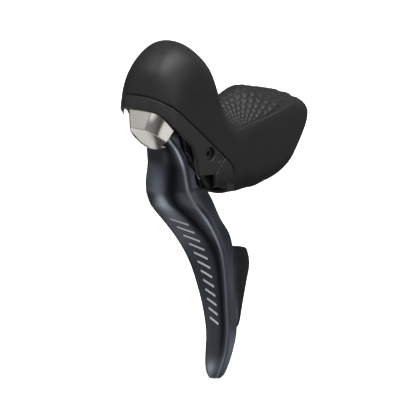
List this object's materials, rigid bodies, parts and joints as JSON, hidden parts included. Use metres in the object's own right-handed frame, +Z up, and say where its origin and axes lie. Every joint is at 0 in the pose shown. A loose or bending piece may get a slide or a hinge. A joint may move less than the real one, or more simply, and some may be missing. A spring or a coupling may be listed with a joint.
{
  "type": "bicycle brake and shift lever",
  "caption": "Left-hand drop-bar control lever: rubber hood over a hydraulic brake body, with a pivoting brake blade that also swings sideways to shift and a release paddle behind it.",
  "frame": {"origin": "centre of the handlebar clamp, on the axis of the bar", "axes": "+Z up, -Y forward (the way the bicycle rides), +X to the rider's left, which is outboard; the bar at the clamp leans back 25 degrees from +Z"},
  "size_m": [0.0375, 0.1173, 0.1686],
  "materials": {
    "hood_rubber": "matte, finely grained",
    "shell_plastic": "satin moulded",
    "gloss_black": "gloss",
    "body_casting": "matte, fibre filled",
    "blade_metal": "satin anodised, dark blue-grey",
    "paddle_metal": "satin anodised, dark blue-grey",
    "polished": "polished",
    "steel": "fine ground",
    "spring_steel": "drawn wire",
    "alloy": "machined",
    "dark_alloy": "anodised dark grey",
    "bearing_bronze": "machined",
    "seal_rubber": "smooth",
    "spool_plastic": "smooth moulded"
  },
  "bodies": {
    "bracket": {"hood": "hood_rubber", "bracket_shell": "shell_plastic", "lower_cover": "shell_plastic", "bracket_body": "body_casting", "reservoir_diaphragm": "seal_rubber", "reservoir_lid": "body_casting", "lid_screws": "steel", "bleed_screw": "steel", "bleed_o_ring": "seal_rubber", "cylinder_sleeve": "alloy", "stop_ring": "steel", "piston_spring": "spring_steel", "hose_nut": "alloy", "olive": "bearing_bronze", "casing_seat": "spool_plastic", "clamp_band": "steel", "clamp_nut": "steel", "clamp_bolt": "steel", "brake_axle": "steel", "axle_lock_screw": "steel", "brake_return_spring": "spring_steel", "rest_bumper": "seal_rubber"},
    "piston": {"piston": "alloy", "primary_seal": "seal_rubber", "secondary_seal": "seal_rubber", "push_rod": "steel"},
    "carrier": {"carrier": "dark_alloy", "axle_bushes": "bearing_bronze", "roller_pin": "steel", "push_roller": "steel", "unit_cover": "gloss_black", "nameplate": "polished", "nameplate_screw": "steel", "shift_axle": "steel", "shift_axle_nut": "steel", "lever_spring": "spring_steel", "holding_pawl_pin": "steel", "reach_screw": "steel"},
    "spool": {"cable_spool": "spool_plastic", "spool_bush": "bearing_bronze", "ratchet_wheel": "steel"},
    "holding_pawl": {"holding_pawl": "steel"},
    "main_lever": {"main_blade": "blade_metal", "blade_hub": "steel", "blade_rivets": "steel", "winding_pawl_pin": "steel", "release_pin": "steel", "release_spring": "spring_steel"},
    "winding_pawl": {"winding_pawl": "steel"},
    "release_lever": {"shift_paddle": "paddle_metal", "paddle_arm": "steel", "paddle_rivets": "steel"}
  },
  "joints": [
    {"name": "brake_pull", "type": "hinge", "parent": "bracket", "child": "carrier", "pos_m": [0, -0.066, 0.0055], "axis": [1, 0, 0], "range_deg": [0, 16], "stiffness_Nm_per_rad": 0.3, "springref_deg": -14.9},
    {"name": "piston_slide", "type": "slide", "parent": "bracket", "child": "piston", "axis": [0, 1, 0], "range_m": [0, 0.004], "deforming": ["piston_spring"]},
    {"name": "spool_turn", "type": "hinge", "parent": "carrier", "child": "spool", "pos_m": [0, -0.07607, 0.0255], "axis": [0, -0.866, -0.5], "range_deg": [0, 120]},
    {"name": "holding_pawl_lift", "type": "hinge", "parent": "carrier", "child": "holding_pawl", "pos_m": [-0.0084, -0.08269, 0.02896], "axis": [0, -0.866, -0.5], "range_deg": [0, 10], "stiffness_Nm_per_rad": 0.01, "springref_deg": -20.05},
    {"name": "shift_swing", "type": "hinge", "parent": "carrier", "child": "main_lever", "pos_m": [0, -0.08473, 0.0205], "axis": [0, 0.866, 0.5], "range_deg": [0, 20], "stiffness_Nm_per_rad": 0.2, "springref_deg": -17.19},
    {"name": "winding_pawl_lift", "type": "hinge", "parent": "main_lever", "child": "winding_pawl", "pos_m": [0.0055, -0.07489, 0.01545], "axis": [0, -0.866, -0.5], "range_deg": [0, 10], "stiffness_Nm_per_rad": 0.01, "springref_deg": -20.05},
    {"name": "release_swing", "type": "hinge", "parent": "main_lever", "child": "release_lever", "pos_m": [0, -0.07525, 0.00808], "axis": [0, 0.866, 0.5], "range_deg": [0, 9], "stiffness_Nm_per_rad": 0.05, "springref_deg": -17.19}
  ],
  "couplings": [
    {"joint": "piston_slide", "follows": "brake_pull", "m_per_rad": 0.0129}
  ]
}
